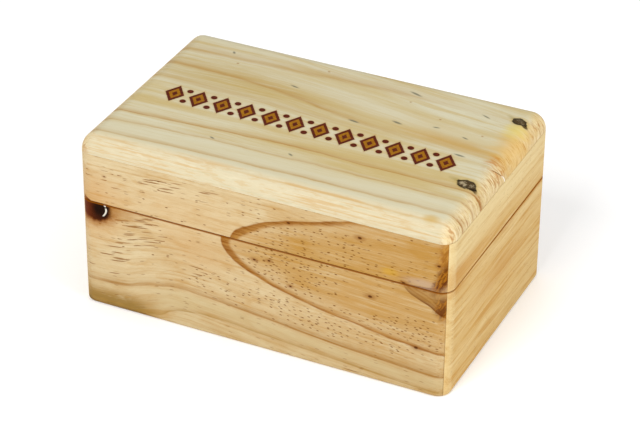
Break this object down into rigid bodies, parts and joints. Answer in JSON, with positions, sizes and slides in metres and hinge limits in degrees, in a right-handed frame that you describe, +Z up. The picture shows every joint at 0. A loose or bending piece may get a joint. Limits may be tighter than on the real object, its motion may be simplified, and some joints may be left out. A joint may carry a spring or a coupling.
{
  "type": "jack-in-the-box",
  "caption": "Rounded pine box with a hinged, magnet-latched lid; inside, a jester figure in a pointed cap stands on a coil spring and rises as the lid opens.",
  "frame": {"origin": "centre of the box's underside, on the surface it stands on", "axes": "+X along the box's length to the right end, +Y from the front to the hinged back, +Z up"},
  "size_m": [0.2, 0.1302, 0.0965],
  "materials": {
    "pine_front": "clear-lacquered pine, orange-tan",
    "pine_end": "clear-lacquered pine, golden tan",
    "pine_top": "clear-lacquered pine, pale",
    "pine_bottom": "plain sanded pine",
    "bare_beech": "bare turned beech",
    "painted_beech": "turned beech, satin paint",
    "red_paint": "gloss-painted wooden bead",
    "black_paint": "gloss-painted wooden peg",
    "cap_felt": "wool felt",
    "band_felt": "wool felt, cream",
    "ruff_cotton": "pleated cotton, cream",
    "arm_cotton": "woven cotton, blue",
    "sleeve_cotton": "woven cotton",
    "brass": "satin brass",
    "steel": "bright zinc-plated steel",
    "nickel": "nickel-plated magnet"
  },
  "bodies": {
    "base": {"base_back_board": "pine_front", "base_front_board": "pine_front", "base_left_board": "pine_end", "base_magnets": "nickel", "base_right_board": "pine_end", "block_screws": "steel", "bottom_board": "pine_bottom", "bottom_screws": "steel", "hem_tacks": "brass", "hinge_base_screws": "brass", "left_hinge_base_leaf": "brass", "left_hinge_pin": "brass", "lower_staples": "steel", "right_hinge_base_leaf": "brass", "right_hinge_pin": "brass", "spring_block": "bare_beech"},
    "lid": {"hinge_lid_screws": "brass", "left_hinge_lid_leaf": "brass", "lid_back_board": "pine_front", "lid_front_board": "pine_front", "lid_left_board": "pine_end", "lid_magnets": "nickel", "lid_right_board": "pine_end", "lid_top_board": "pine_top", "right_hinge_lid_leaf": "brass"},
    "spring": {"jack_spring": "steel", "body_sleeve": "sleeve_cotton"},
    "jack": {"spring_cap": "bare_beech", "upper_staples": "steel", "neck_dowel": "bare_beech", "head_ball": "painted_beech", "nose_bead": "red_paint", "eye_beads": "black_paint", "jester_cap": "cap_felt", "cap_band": "band_felt", "collar_ruff": "ruff_cotton", "left_bell": "brass", "right_bell": "brass", "left_arm": "arm_cotton", "right_arm": "arm_cotton", "left_hand": "painted_beech", "right_hand": "painted_beech"}
  },
  "joints": [
    {"name": "lid_hinge", "type": "hinge", "parent": "base", "child": "lid", "pos_m": [0, 0.0635, 0.06], "axis": [-1, 0, 0], "range_deg": [0, 100]},
    {"name": "jack_rise", "type": "slide", "parent": "base", "child": "spring", "axis": [0, 0, 1], "range_m": [0, 0.1085], "deforming": ["jack_spring", "body_sleeve"]},
    {"name": "jack_sway", "type": "hinge", "parent": "spring", "child": "jack", "pos_m": [0, 0, 0.035], "axis": [0, 1, 0], "range_deg": [-8, 8], "stiffness_Nm_per_rad": 0.3}
  ],
  "couplings": [
    {"joint": "jack_rise", "follows": "lid_hinge", "m_per_rad": 0.062}
  ]
}
